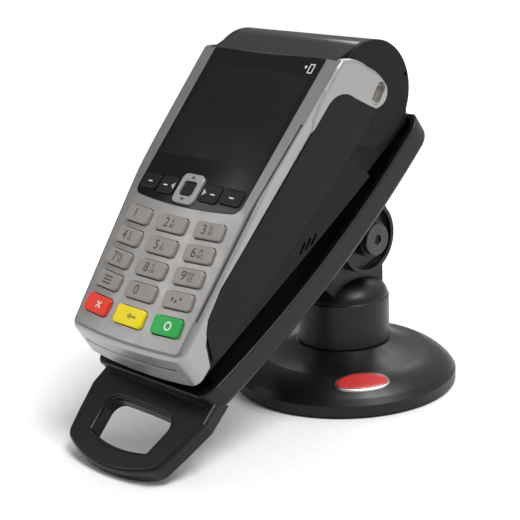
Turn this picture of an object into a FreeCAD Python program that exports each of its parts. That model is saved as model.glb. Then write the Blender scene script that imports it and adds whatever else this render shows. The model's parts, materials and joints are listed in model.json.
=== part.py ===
import FreeCAD, Part
import math
import os
from FreeCAD import Placement, Rotation
from FreeCAD import Vector as V

# Handheld card payment terminal resting in a tilting cradle on a weighted round base.
# Millimetres. X runs left to right for the user, Y away from the user, Z up.
# The origin is the centre of the base's underside, on the counter.

# ---------------------------------------------------------------- driving dimensions
# Stand
BASE_RADIUS = 48.7
BASE_RIM_HEIGHT = 5.6
BASE_COLLAR_RADIUS = 21.2
BASE_HEIGHT = 19.6
NECK_RADIUS = 20.0
NECK_TOP = 39.5
SLAB_HALF_WIDTH = 9.4
KNUCKLE_RADIUS = 15.5
EAR_OUTER_X = 16.2
EAR_GAP = 0.9
PIVOT_HEIGHT = 67.0
TILT_BOLT_RADIUS = 4.0

# Cradle: a shallow curved tray, described in a frame tilted with its chord
CRADLE_CENTRE = V(0, -53.15, 75.4)
CRADLE_TILT = 37.6
RIM_ARC_RADIUS = 438.0
TRAY_DEPTH = 11.0
RIM_SAG = 5.4
TRAY_WALL = 2.6
TRAY_TOP_Y = 74.5
TRAY_FRONT_Y = -72.5
TRAY_TOP_HALF_WIDTH = 41.0
TRAY_FRONT_HALF_WIDTH = 34.0
HANDLE_TOP_Z = -6.0
HANDLE_BOTTOM_Z = -12.4
HANDLE_TIP_Y = -109.6
COUNTER_GAP = 0.5

# Terminal: a frame that lies in the display's plane, its origin at the foot of the display panel
PANEL_FOOT = V(0, -86.8, 98.9)
FACE_TILT = 47.4
KEYPAD_EXTRA_TILT = 6.4
FACE_CROWN_RADIUS = 417.0
HEAD_Y = 70.0
FOOT_Y = -62.0
CHIN_Y = -61.3
CHIN_Z = -6.88
CHIN_LEAN = 0.26
CHIN_BOW = 2.2
FOOT_CORNER_RADIUS = 4.5
CREASE_RADIUS = 60.0
SHOULDER_RADIUS = 3.0
HEAD_HALF_WIDTH = 38.8
PANEL_FOOT_HALF_WIDTH = 36.6
FOOT_HALF_WIDTH = 33.2
SKIN = 2.0
SIDE_WALL = 4.6
REAR_INSET = 0.6
WALL_FLARE = 0.8
WALL_THICKNESS = 1.3
SWIPE_SLOT_WIDTH = 1.0
DRUM_CENTRE_Y = 71.4
DRUM_CENTRE_Z = -27.3
DRUM_RADIUS = 21.2
DRUM_HALF_WIDTH = 36.6
LID_EDGE_Y = 69.3
LID_HINGE_ANGLE = -32.0
LID_END_ANGLE = -27.5
KNUCKLE_PIN_RADIUS = 2.4
LID_HINGE_PIN_RADIUS = 1.0
PANEL_HALF_WIDTH = 30.6
PANEL_THICKNESS = 1.4
PANEL_BOTTOM_Y = -3.5
FACE_TOP_Y = 67.6
LID_GAP = 0.3
WINDOW_HALF_WIDTH = 28.8
WINDOW_BOTTOM_Y = 17.8
WINDOW_TOP_Y = 60.1

# Keypad: a frame that lies in the keypad's plane, with the same origin
KEY_COLUMN_PITCH = 20.74
KEY_ROW_PITCH = 9.52
FIRST_ROW_Y = -11.4
COLOUR_ROW_Y = -50.3
KEY_HEIGHT = 6.6
COLOUR_KEY_HEIGHT = 7.3
MIDDLE_KEY_WIDTH = 15.7
OUTER_KEY_WIDTH = 13.8
OUTER_KEY_RISE = 0.8
OUTER_KEY_TURN = 4.0
KEY_GAP = 0.35
KEY_PROUD = 1.5
KEY_FOOT_Z = -2.4
KEY_TRAVEL = 0.9

# Printer
ROLL_RADIUS = 15.2
ROLL_CORE_RADIUS = 6.0
ROLL_HALF_WIDTH = 28.5
ROLL_Y = 70.5
ROLL_Z = -30.0
PLATEN_Y = 72.3
PLATEN_Z = -11.0
PLATEN_RADIUS = 3.2
GEAR_MODULE = 0.6
PLATEN_TEETH = 12
DRIVE_TEETH = 18
GEAR_X = 30.9
GEAR_WIDTH = 2.2

OUT = "parts"
X_AXIS = V(1, 0, 0)
Y_AXIS = V(0, 1, 0)
Z_AXIS = V(0, 0, 1)
FAR = 200.0

TERMINAL = Placement(PANEL_FOOT, Rotation(X_AXIS, FACE_TILT))
KEYPAD_IN_TERMINAL = Placement(V(0, 0, 0), Rotation(X_AXIS, KEYPAD_EXTRA_TILT))
CRADLE = Placement(CRADLE_CENTRE, Rotation(X_AXIS, CRADLE_TILT))
BACK_SLOPE = math.radians(12.4)
BACK_Z = -36.0


# ---------------------------------------------------------------- small helpers
def placed(shape, frame):
    """A copy of the shape moved from its own frame into the frame's parent."""
    moved = shape.copy()
    moved.Placement = frame.multiply(moved.Placement)
    return moved


def box(x0, x1, y0, y1, z0, z1):
    return Part.makeBox(x1 - x0, y1 - y0, z1 - z0, V(x0, y0, z0))


def rod_x(x0, x1, y, z, radius):
    return Part.makeCylinder(radius, x1 - x0, V(x0, y, z), X_AXIS)


def rod_z(x, y, z0, z1, radius):
    return Part.makeCylinder(radius, z1 - z0, V(x, y, z0), Z_AXIS)


def side_face(points):
    """A closed face in the YZ plane. A point is (y, z), or (y, z, mid_y, mid_z) for an arc ending there."""
    edges = []
    here = V(0, points[0][0], points[0][1])
    first = here
    for point in points[1:] + [points[0][:2]]:
        there = V(0, point[0], point[1])
        if (there - here).Length < 1e-6:
            continue
        if len(point) == 4:
            edges.append(Part.Arc(here, V(0, point[2], point[3]), there).toShape())
        else:
            edges.append(Part.LineSegment(here, there).toShape())
        here = there
    assert (here - first).Length < 1e-6
    return Part.Face(Part.Wire(edges))


def side_prism(points, x0, x1):
    """The side outline, extruded between two planes across the object."""
    face = side_face(points)
    face.translate(V(x0, 0, 0))
    return face.extrude(V(x1 - x0, 0, 0))


def plan_prism(points, z0, z1):
    wire = Part.makePolygon([V(x, y, z0) for x, y in points + points[:1]])
    return Part.Face(wire).extrude(V(0, 0, z1 - z0))


def mirrored(shape):
    return shape.mirror(V(0, 0, 0), X_AXIS)


def both_sides(shape):
    return [shape, mirrored(shape)]


def union(shapes):
    return shapes[0].multiFuse(shapes[1:]).removeSplitter()


def rounded(shape, radius, wanted):
    """Fillets every edge that the test picks out."""
    edges = [edge for edge in shape.Edges if wanted(edge)]
    return shape.makeFillet(radius, edges) if edges else shape


def runs_along(edge, axis, tolerance=0.02):
    ends = [vertex.Point for vertex in edge.Vertexes]
    if len(ends) < 2:
        return False
    direction = (ends[1] - ends[0]).normalize()
    return abs(abs(direction.dot(axis)) - 1) < tolerance


def rounded_plate(width, height, z0, z1, radius):
    """An upright-sided plate centred on the Z axis with rounded corners."""
    block = box(-width / 2, width / 2, -height / 2, height / 2, z0, z1)
    return rounded(block, radius, lambda edge: runs_along(edge, Z_AXIS))


def save(name, shape):
    shape.exportStep(os.path.join(OUT, name + ".step"))
    solids = shape.Solids
    note = "" if shape.isValid() and solids else "  <-- not valid"
    print("%-18s %2d solid(s) %10.1f mm3%s" % (name, len(solids), shape.Volume, note))


def group(shapes):
    return Part.makeCompound(shapes)


# ---------------------------------------------------------------- stand
def base_shell():
    """The turned cover: upright rim, chamfer, a domed shoulder and a concave skirt up to the collar."""
    bore = 18.0
    wall = 2.6
    rim_foot = V(BASE_RADIUS, 0, 1.2)
    rim_top = V(BASE_RADIUS, 0, BASE_RIM_HEIGHT)
    shoulder = V(BASE_RADIUS - 1.9, 0, 8.2)
    dome_top = V(36.5, 0, 14.9)
    collar = V(BASE_COLLAR_RADIUS, 0, BASE_HEIGHT)
    edges = [
        Part.LineSegment(rim_foot, rim_top).toShape(),
        Part.LineSegment(rim_top, shoulder).toShape(),
        Part.Arc(shoulder, V(42.3, 0, 12.0), dome_top).toShape(),
        Part.Arc(dome_top, V(27.5, 0, 17.0), collar).toShape(),
    ]
    inner = [
        collar,
        V(bore, 0, BASE_HEIGHT),
        V(bore, 0, 12.4),
        V(33.0, 0, 12.4),
        V(43.0, 0, 8.5),
        V(BASE_RADIUS - wall, 0, 4.0),
        V(BASE_RADIUS - wall, 0, 1.2),
        rim_foot,
    ]
    edges += [Part.LineSegment(a, b).toShape() for a, b in zip(inner, inner[1:])]
    shell = Part.Face(Part.Wire(edges)).revolve(V(0, 0, 0), Z_AXIS, 360)
    screw_bosses = [rod_z(x, y, 4.0, 11.0, 3.0) for x, y in base_screw_places()]
    screw_holes = [rod_z(x, y, 4.0, 8.0, 1.3) for x, y in base_screw_places()]
    return union([shell] + screw_bosses).cut(group(screw_holes))


def base_screw_places():
    radius = 36.0
    turns = [math.radians(angle) for angle in (90, 210, 330)]
    return [(radius * math.cos(turn), radius * math.sin(turn)) for turn in turns]


def ballast_plate():
    """A steel disc that fills the foot of the base, with clearance for the swivel bolt and the screws."""
    plate = rod_z(0, 0, 1.2, 4.0, BASE_RADIUS - 3.0)
    boss = rod_z(0, 0, 4.0, 12.2, 17.0)
    well = rod_z(0, 0, 1.2, 6.0, 9.0)
    bore = rod_z(0, 0, 5.0, 13.0, 5.05)
    counterbores = [rod_z(x, y, 1.2, 2.6, 3.3) for x, y in base_screw_places()]
    holes = [rod_z(x, y, 1.2, 4.0, 1.7) for x, y in base_screw_places()]
    return plate.fuse(boss).cut(group([well, bore] + counterbores + holes))


def base_pad():
    """The non-slip rubber disc that the stand rests on."""
    return rod_z(0, 0, 0, 1.2, BASE_RADIUS - 1.2)


def base_screws():
    screws = []
    for x, y in base_screw_places():
        screws.append(rod_z(x, y, 1.4, 2.6, 3.0).fuse(rod_z(x, y, 2.6, 8.0, 1.3)))
    return group(screws)


def swivel_bush():
    """The friction bush in the collar that the neck turns on."""
    flange = rod_z(0, 0, 12.4, 13.6, 17.6)
    sleeve = rod_z(0, 0, 13.6, BASE_HEIGHT - 0.3, 17.9)
    bolt_hole = rod_z(0, 0, 12.0, 14.4, 5.2)
    bearing = rod_z(0, 0, 14.4, BASE_HEIGHT, 15.05)
    return flange.fuse(sleeve).cut(group([bolt_hole, bearing]))


def swivel_bolt():
    """A hexagon bolt from below that holds the neck down on its bush."""
    head = Part.Face(Part.makePolygon(hexagon(6.4, 1.6))).extrude(V(0, 0, 3.6))
    shank = rod_z(0, 0, 5.2, 34.0, 5.0)
    return head.fuse(shank)


def hexagon(radius, z):
    turns = [math.pi * i / 3 for i in range(6)]
    corners = [V(radius * math.cos(turn), radius * math.sin(turn), z) for turn in turns]
    return corners + corners[:1]


def neck():
    """The column: a round foot, a domed shoulder on each side and the flat tongue with the pivot."""
    foot_top = 14.9
    spigot = rod_z(0, 0, foot_top, BASE_HEIGHT + 0.5, 15.0)
    column = rod_z(0, 0, BASE_HEIGHT + 0.3, NECK_TOP, NECK_RADIUS)
    column = rounded(column, 0.6, lambda edge: abs(edge.BoundBox.ZMin - NECK_TOP) < 0.01)
    dome_height = 10.5
    dome = Part.makeSphere(NECK_RADIUS - 0.4)
    squash = FreeCAD.Matrix()
    squash.scale(1, 1, dome_height / NECK_RADIUS)
    dome = dome.transformGeometry(squash)
    dome.translate(V(0, 0, NECK_TOP - 0.5))
    dome = dome.common(box(-FAR, FAR, -FAR, FAR, NECK_TOP - 0.5, FAR))
    tongue = box(-SLAB_HALF_WIDTH, SLAB_HALF_WIDTH, -KNUCKLE_RADIUS, KNUCKLE_RADIUS, 30, PIVOT_HEIGHT)
    crown = rod_x(-SLAB_HALF_WIDTH, SLAB_HALF_WIDTH, 0, PIVOT_HEIGHT, KNUCKLE_RADIUS)
    ear_clearance = KNUCKLE_RADIUS + 0.8
    ear_room = both_sides(rod_x(SLAB_HALF_WIDTH, FAR, 0, PIVOT_HEIGHT, ear_clearance))
    body = union([spigot, column, dome.cut(group(ear_room)), tongue, crown])
    bolt_bore = rod_z(0, 0, foot_top, 34.0, 5.0)
    pivot_bore = rod_x(-FAR, FAR, 0, PIVOT_HEIGHT, TILT_BOLT_RADIUS + 0.05)
    return body.cut(group([bolt_bore, pivot_bore]))


def friction_washers():
    """Fibre discs between the neck's tongue and the cradle's ears."""
    outer = SLAB_HALF_WIDTH + EAR_GAP - 0.1
    disc = rod_x(SLAB_HALF_WIDTH, outer, 0, PIVOT_HEIGHT, 12.0)
    disc = disc.cut(rod_x(0, FAR, 0, PIVOT_HEIGHT, TILT_BOLT_RADIUS + 0.3))
    return group(both_sides(disc))


def tilt_bolt():
    """The pivot bolt, with the wide flat head and hexagon socket that face the user's right."""
    seat = EAR_OUTER_X + 2.6
    head = rod_x(seat, seat + 2.2, 0, PIVOT_HEIGHT, 6.8)
    head = rounded(head, 0.5, lambda edge: edge.BoundBox.XMin > seat + 2.1)
    shank = rod_x(-seat - 4.0, seat, 0, PIVOT_HEIGHT, TILT_BOLT_RADIUS)
    socket = Part.Face(Part.makePolygon(hexagon(2.4, 0))).extrude(V(0, 0, 1.6))
    socket.rotate(V(0, 0, 0), Y_AXIS, 90)
    socket.translate(V(seat + 0.8, 0, PIVOT_HEIGHT))
    return head.fuse(shank).cut(socket)


def tilt_nut():
    seat = EAR_OUTER_X + 2.6
    nut = Part.Face(Part.makePolygon(hexagon(7.4, 0))).extrude(V(0, 0, 3.6))
    nut.rotate(V(0, 0, 0), Y_AXIS, -90)
    nut.translate(V(-seat, 0, PIVOT_HEIGHT))
    return nut.cut(rod_x(-FAR, FAR, 0, PIVOT_HEIGHT, TILT_BOLT_RADIUS))


# ---------------------------------------------------------------- cradle
def tray_arc_z(y, radius):
    """Height of a tray arc above the chord frame at a given place along it."""
    centre_z = RIM_ARC_RADIUS - RIM_SAG
    return centre_z - math.sqrt(radius * radius - y * y)


def tray_side(inset_bottom, inset_ends):
    """Side face of the tray between its rim arc and its underside arc."""
    bottom_radius = RIM_ARC_RADIUS + TRAY_DEPTH - inset_bottom
    rim_radius = RIM_ARC_RADIUS - (1.0 if inset_bottom else 0.0)
    front = TRAY_FRONT_Y + inset_ends
    top = TRAY_TOP_Y - inset_ends
    return [
        (front, tray_arc_z(front, rim_radius)),
        (front + 1.0, tray_arc_z(front + 1.0, bottom_radius)),
        (top + 1.0, tray_arc_z(top + 1.0, bottom_radius), 0, tray_arc_z(0, bottom_radius)),
        (top, tray_arc_z(top, rim_radius)),
        (front, tray_arc_z(front, rim_radius), 0, tray_arc_z(0, rim_radius)),
    ]


def tray_plan(inset, corner_radius):
    bow = 2.4
    front = TRAY_FRONT_Y + inset
    top = TRAY_TOP_Y + 2.0 - inset
    front_x = TRAY_FRONT_HALF_WIDTH - inset
    top_x = TRAY_TOP_HALF_WIDTH - inset
    left = V(-front_x, front, 0)
    right = V(front_x, front, 0)
    edges = [
        Part.Arc(left, V(0, front - bow, 0), right).toShape(),
        Part.LineSegment(right, V(top_x, top, 0)).toShape(),
        Part.LineSegment(V(top_x, top, 0), V(-top_x, top, 0)).toShape(),
        Part.LineSegment(V(-top_x, top, 0), left).toShape(),
    ]
    block = Part.Face(Part.Wire(edges)).extrude(V(0, 0, 60))
    block.translate(V(0, 0, -40))
    return rounded(block, corner_radius, lambda edge: runs_along(edge, Z_AXIS))


def loop_face(left_back, left_front, front_y, back_y):
    """A face symmetric about the Y axis with a bowed front and back and straight sides."""
    right_back = V(-left_back[0], left_back[1], 0)
    right_front = V(-left_front[0], left_front[1], 0)
    back, front = V(*left_back, 0), V(*left_front, 0)
    edges = [
        Part.LineSegment(back, front).toShape(),
        Part.Arc(front, V(0, front_y, 0), right_front).toShape(),
        Part.LineSegment(right_front, right_back).toShape(),
        Part.Arc(right_back, V(0, back_y, 0), back).toShape(),
    ]
    return Part.Face(Part.Wire(edges))


def handle():
    """The front loop that the user grips to turn and tilt the terminal."""
    root_y = TRAY_FRONT_Y + 6.0
    thickness = V(0, 0, HANDLE_TOP_Z - HANDLE_BOTTOM_Z)
    foot = V(0, 0, HANDLE_BOTTOM_Z)
    waist = (-31.0, -92.0)
    front = loop_face(waist, (-27.8, -102.5), HANDLE_TIP_Y, waist[1] + 0.5).extrude(thickness)
    arms = plan_prism([(-33.0, root_y), (-34.3, -79.0), waist, (31.0, -92.0), (34.3, -79.0), (33.0, root_y)],
                      0, thickness.z)
    plate = union([front, arms])
    plate = rounded(plate, 6.5, lambda edge: runs_along(edge, Z_AXIS) and edge.BoundBox.YMax < -100)
    hole = loop_face((-20.0, -81.5), (-17.0, -97.5), -99.8, -80.9).extrude(thickness)
    hole = rounded(hole, 5.0, lambda edge: runs_along(edge, Z_AXIS) and edge.BoundBox.YMin > -90)
    hole = rounded(hole, 1.5, lambda edge: runs_along(edge, Z_AXIS) and edge.BoundBox.YMax < -90)
    plate = plate.cut(hole)
    top = thickness.z - 0.01
    plate = rounded(plate, 1.8, lambda edge: edge.BoundBox.ZMin > top and edge.BoundBox.YMin < root_y - 1)
    plate.translate(foot)
    return plate


def cradle_ears():
    """Two knuckles under the tray that clasp the neck's tongue, each with a dished face around the bolt."""
    pivot = CRADLE.inverse().multVec(V(0, 0, PIVOT_HEIGHT))
    inner_x = SLAB_HALF_WIDTH + EAR_GAP
    web_top = tray_arc_z(pivot.y + 20, RIM_ARC_RADIUS + TRAY_DEPTH) + 1.0
    knuckle = rod_x(inner_x, EAR_OUTER_X, pivot.y, pivot.z, KNUCKLE_RADIUS)
    web = [
        (pivot.y - 24, web_top),
        (pivot.y - KNUCKLE_RADIUS, pivot.z + 2),
        (pivot.y + KNUCKLE_RADIUS, pivot.z + 2),
        (pivot.y + 20, web_top),
    ]
    ear = knuckle.fuse(side_prism(web, inner_x, EAR_OUTER_X))
    dish = rod_x(EAR_OUTER_X - 2.6, EAR_OUTER_X, pivot.y, pivot.z, KNUCKLE_RADIUS - 1.7)
    boss = rod_x(EAR_OUTER_X - 3.0, EAR_OUTER_X + 2.6, pivot.y, pivot.z, 8.0)
    bore = rod_x(0, FAR, pivot.y, pivot.z, TILT_BOLT_RADIUS)
    ear = ear.cut(dish).fuse(boss).cut(bore)
    return both_sides(ear)


def lies_on_arc(edge, radius):
    """Whether the edge's middle lies on one of the tray's two long arcs."""
    middle = edge.valueAt((edge.FirstParameter + edge.LastParameter) / 2)
    return abs(middle.z - tray_arc_z(middle.y, radius)) < 0.3


def cradle():
    outer = side_prism(tray_side(0, 0), -60, 60).common(tray_plan(0, 9.0))
    outer = rounded(outer, 2.5, lambda edge: lies_on_arc(edge, RIM_ARC_RADIUS + TRAY_DEPTH))
    outer = rounded(outer, 0.8, lambda edge: lies_on_arc(edge, RIM_ARC_RADIUS))
    pocket = side_prism(tray_side(TRAY_WALL, TRAY_WALL), -60, 60).common(tray_plan(TRAY_WALL, 6.5))
    body = union([outer, handle()] + cradle_ears()).cut(pocket)
    screw_holes = [rod_z(x, y, -20, -8, 1.7) for x, y in adapter_screw_places()]
    counter = box(-FAR, FAR, -FAR, FAR, -FAR, COUNTER_GAP)
    return placed(body.cut(group(screw_holes)), CRADLE).cut(counter)


def adapter_screw_places():
    return [(x, y) for x in (-16, 16) for y in (-42, 2)]


def under_terminal(y):
    """A point of the terminal's flat back, in the tray's frame, as (y, z)."""
    point = CRADLE.inverse().multVec(TERMINAL.multVec(V(0, y, back_z(y))))
    return point.y, point.z


def adapter_plate():
    """The riser that fits this terminal's sloping back to the curved tray, with two long rails."""
    floor_radius = RIM_ARC_RADIUS + TRAY_DEPTH - TRAY_WALL
    front, top = -60.0, 52.0
    outline = [
        under_terminal(-54.0),
        (front, tray_arc_z(front, floor_radius)),
        (top, tray_arc_z(top, floor_radius), 0, tray_arc_z(0, floor_radius)),
        under_terminal(60.0),
    ]
    block = side_prism(outline, -22, 22)
    hollow = [box(-18, 18, y, y + 30, -9.5, 20) for y in (-56, -16)] + [box(-18, 18, 24, 48, -9.5, 20)]
    pilot_holes = [rod_z(x, y, -20, -6, 1.3) for x, y in adapter_screw_places()]
    posts = [rod_z(x, y, -11.5, -4, 3.2) for x, y in adapter_screw_places()]
    body = union([block.cut(group(hollow))] + posts)
    return placed(body.cut(group(pilot_holes)), CRADLE)


def adapter_screws():
    screws = []
    for x, y in adapter_screw_places():
        under = tray_arc_z(y, RIM_ARC_RADIUS + TRAY_DEPTH) - 0.3
        screws.append(rod_z(x, y, under - 1.4, under, 3.0).fuse(rod_z(x, y, under, -6.2, 1.3)))
    return placed(group(screws), CRADLE)


# ---------------------------------------------------------------- terminal casing
def on_drum(angle, radius=DRUM_RADIUS):
    turn = math.radians(angle)
    return (DRUM_CENTRE_Y + radius * math.cos(turn), DRUM_CENTRE_Z + radius * math.sin(turn))


def back_z(y):
    """Height of the terminal's flat back, which slopes away from the face towards the head."""
    return BACK_Z - math.tan(BACK_SLOPE) * y


def casing_side():
    """Side outline of the closed terminal: chin, face, lid, drum and back."""
    low_z = -21.0
    low_y = CHIN_Y + CHIN_LEAN * (low_z - CHIN_Z) - CHIN_BOW - 1.0
    back_corner_y = 74.5
    foot_y = -57.0
    return [
        (low_y, low_z),
        (low_y, CHIN_Z + 5.0),
        (CHIN_Y, CHIN_Z + 5.0),
        (0.0, 5.0),
        (FACE_TOP_Y, 5.0),
        (FACE_TOP_Y, 0.0),
        (LID_EDGE_Y, -2.6, LID_EDGE_Y - 0.5, -0.7),
        on_drum(64.0),
        on_drum(-50.0) + on_drum(0.0),
        (back_corner_y, back_z(back_corner_y)),
        (foot_y, back_z(foot_y)),
        (-62.6, -23.0),
    ]


def half_width(y, flare=0.0):
    """Half width of the casing, a parabola through three measures, widened by the flare towards the head."""
    foot_drop = FOOT_HALF_WIDTH - PANEL_FOOT_HALF_WIDTH
    head_rise = HEAD_HALF_WIDTH - PANEL_FOOT_HALF_WIDTH
    bend = (foot_drop / FOOT_Y - head_rise / HEAD_Y) / (FOOT_Y - HEAD_Y)
    slope = head_rise / HEAD_Y - bend * HEAD_Y
    return PANEL_FOOT_HALF_WIDTH + slope * y + bend * y * y + flare * (y - FOOT_Y) / (HEAD_Y - FOOT_Y)


def casing_plan(inset, corner_radius, flare=0.0, foot_inset=None):
    """The casing's walls seen from in front: curved sides and a bowed foot that leans forward going down."""
    foot_inset = inset if foot_inset is None else foot_inset
    low = -70.0
    high = 12.0
    foot = CHIN_Y - CHIN_LEAN * CHIN_Z + CHIN_BOW + foot_inset
    top = 110.0
    middle = (foot + top) / 2

    def corner(y):
        return V(half_width(y, flare) - inset, y, 0)

    step = 0.01
    grade = (corner(foot + step).x - corner(foot).x) / step
    control = V(corner(foot).x + grade * (middle - foot), middle, 0)
    right = Part.BezierCurve()
    right.setPoles([corner(foot), control, corner(top)])
    left = Part.BezierCurve()
    left.setPoles([V(-pole.x, pole.y, 0) for pole in (corner(top), control, corner(foot))])
    across = Part.LineSegment(corner(top), V(-corner(top).x, top, 0))
    chin = Part.Arc(V(-corner(foot).x, foot, 0), V(0, foot - CHIN_BOW, 0), corner(foot))
    face = Part.Face(Part.Wire([right.toShape(), across.toShape(), left.toShape(), chin.toShape()]))
    lean = V(0, CHIN_LEAN, 1)
    face.translate(lean * low)
    block = face.extrude(lean * (high - low))
    if not corner_radius:
        return block
    lean.normalize()
    return rounded(block, corner_radius, lambda edge: runs_along(edge, lean) and edge.BoundBox.YMax < 20)


def crowned(shape, drop=0.0):
    """Trims the shape to the crowned face: two cylinders that meet where the face bends."""
    radius = FACE_CROWN_RADIUS
    display = Part.makeCylinder(radius, 300, V(0, -100, -radius - drop), Y_AXIS)
    keypad = placed(Part.makeCylinder(radius, 300, V(0, -200, -radius - drop), Y_AXIS), KEYPAD_IN_TERMINAL)
    half_bend = math.radians(KEYPAD_EXTRA_TILT / 2)
    up = (-math.sin(half_bend) * FAR, math.cos(half_bend) * FAR)
    down = (-up[0], -up[1])
    head_side = side_prism([up, down, (FAR, -FAR), (FAR, FAR)], -60, 60)
    foot_side = side_prism([up, down, (-FAR, -FAR), (-FAR, FAR)], -60, 60)
    head_part = shape.common(head_side).common(display)
    foot_part = shape.common(foot_side).common(keypad)
    return head_part.fuse(foot_part).removeSplitter()


def face_layer(prism, top_drop, bottom_drop):
    """A layer of the prism that follows the crowned face between two depths below it."""
    return crowned(prism, top_drop).cut(crowned(prism, bottom_drop))


def casing_solid(side_inset, skin):
    """The whole terminal as a solid, shrunk by the skin, with its sides moved in."""
    face = side_face(casing_side())
    if skin:
        face = Part.Face(face.OuterWire.makeOffset2D(-skin))
    face.translate(V(-60, 0, 0))
    slab = face.extrude(V(120, 0, 0))
    foot_inset = 1.2 * skin if skin else side_inset
    plan = casing_plan(side_inset, FOOT_CORNER_RADIUS - skin, foot_inset=foot_inset)
    return crowned(slab.common(plan), skin)


def soft_casing():
    """The outer solid with its crease, shoulders and chin rounded."""
    sharp = casing_solid(0.0, 0.0)
    smooth = rounded(sharp, CREASE_RADIUS, is_crease)
    return rounded(smooth, SHOULDER_RADIUS, is_shoulder)


def is_crease(edge):
    span = edge.BoundBox
    return span.XLength > 60.0 and abs(span.YMax) < 1.0 and abs(span.ZMax) < 1.0 and span.ZLength < 3.0


def is_shoulder(edge):
    """The rim of the crowned face: along both sides, round the lower corners and across the chin."""
    span = edge.BoundBox
    if span.ZMin < -12.0 or span.YMax > FACE_TOP_Y + 0.2:
        return False
    along_side = min(abs(span.XMin), abs(span.XMax)) > 32.0 and span.YLength > 2.0 and span.ZMax > -8.0
    corner = span.YMax < -40.0 and span.YLength > 1.0 and span.ZMax > -9.5
    return along_side or corner


EAR_OUTLINE = [
    (36.0, -9.0),
    (62.0, -20.0),
    (65.4, -28.6),
    (77.2, -28.8, 71.6, -32.6),
    (76.4, -15.5, 77.8, -22.3),
    (69.8, -1.9, 74.3, -7.9),
    (66.0, -1.6),
    (56.0, -1.9),
    (44.0, -3.6),
]
RAIL_DEPTH = 6.8
EAR_EDGE_RADIUS = 1.6


def front_region():
    """Side outline of the silver front: the face, the rails and the cheeks at the foot."""
    top = LID_EDGE_Y - LID_GAP
    return side_prism([
        (-80, -22.4),
        (-54.5, -22.4),
        (-49.0, -15.0),
        (-45.5, -12.7),
        (-41.0, -9.9),
        (-29.0, -7.5),
        (0, -RAIL_DEPTH),
        (top, -RAIL_DEPTH),
        (top, 10),
        (-80, 10),
    ], -60, 60)


def ear_plate():
    """The silver ear over the drum's right end, proud of the casing and rounded at its rim."""
    ear = side_prism(EAR_OUTLINE, DRUM_HALF_WIDTH + 0.1, 60).common(casing_plan(0.0, 0, WALL_FLARE))
    ear = rounded(ear, EAR_EDGE_RADIUS, lambda edge: edge.BoundBox.XMin > DRUM_HALF_WIDTH + 1.2)
    return ear.cut(side_prism(grip_outline(0.1), 0, 60))


def front_shell(key_openings):
    """The silver front: rails, ears over the drum's ends, keypad plate, card mouth and display recess."""
    shell = soft_casing().cut(casing_solid(SIDE_WALL, SKIN)).common(front_region())
    ear = ear_plate()
    right_ear = ear.cut(usb_recess())
    plate = union([shell, right_ear, mirrored(ear)])
    panel_recess = panel_block(0.15).cut(casing_solid(0.0, PANEL_THICKNESS + 0.1))
    window_well = box(-30.4, 30.4, 1.0, 64.5, -RAIL_DEPTH - 1.0, 5)
    card_mouth = placed(box(-27.4, 27.4, -80, -45, -8.3, -7.1), KEYPAD_IN_TERMINAL)
    tools = [panel_recess, window_well, card_mouth, swipe_channel(), mag_head_room()]
    for tool in tools + wall_relief() + key_openings:
        plate = plate.cut(tool)
    return biggest(plate)


def panel_block(grow):
    """An upright block of the display panel's outline: tapered, bowed and rounded at the bottom."""
    top = LID_EDGE_Y - LID_GAP + grow
    half_top = PANEL_HALF_WIDTH + 1.2 + grow
    half_low = PANEL_HALF_WIDTH + grow
    low = -1.2 - grow
    edges = [
        Part.Arc(V(-half_low, low, 0), V(0, PANEL_BOTTOM_Y - grow, 0), V(half_low, low, 0)).toShape(),
        Part.LineSegment(V(half_low, low, 0), V(half_top, top, 0)).toShape(),
        Part.LineSegment(V(half_top, top, 0), V(-half_top, top, 0)).toShape(),
        Part.LineSegment(V(-half_top, top, 0), V(-half_low, low, 0)).toShape(),
    ]
    block = Part.Face(Part.Wire(edges)).extrude(V(0, 0, 15.0))
    block.translate(V(0, 0, -10.0))
    return rounded(block, 4.2 + grow, lambda edge: runs_along(edge, Z_AXIS) and edge.BoundBox.YMax < 0)


def wall_inner(grow=0.0):
    """Everything inboard of the side walls' inner faces."""
    return casing_plan(WALL_THICKNESS + grow, 0, WALL_FLARE)


def swipe_channel():
    """What the card slot takes out of the right side: all that stands outboard of the narrowed rail."""
    under_ear = 54.0
    ear_start = 40.0
    reach = side_prism([
        (-42.5, -16),
        (-46.0, 5),
        (ear_start, 5),
        (ear_start, -RAIL_DEPTH),
        (under_ear, -RAIL_DEPTH - 1.0),
        (under_ear, -16),
    ], 0, 60)
    return reach.cut(wall_inner(SWIPE_SLOT_WIDTH)).common(wall_inner())


def grip_outline(grow=0.0):
    """Side outline of a black side wall, with its round upper end under the ear."""
    return [
        (-52.0 - grow, -22.0),
        (-45.5 - grow, -12.4 + grow),
        (-41.0, -9.6 + grow),
        (-29.0, -7.2 + grow),
        (51.5, -7.0 + grow),
        (62.5 + grow, -16.5, 59.6 + grow, -10.2 + grow),
        (66.0 + grow, -29.6 - grow),
        (51.0, -30.0 - grow),
        (-48.5 - grow, -24.4 - grow),
    ]


def side_wall():
    """The black outer wall on the right, flush with the ear."""
    return side_prism(grip_outline(), 0, 60).common(casing_plan(0, 0, WALL_FLARE)).cut(wall_inner())


def wall_relief():
    """What the black side walls take out of the silver front and the rear shell."""
    return both_sides(side_prism(grip_outline(0.1), 0, 60).cut(wall_inner(0.05)))


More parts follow.
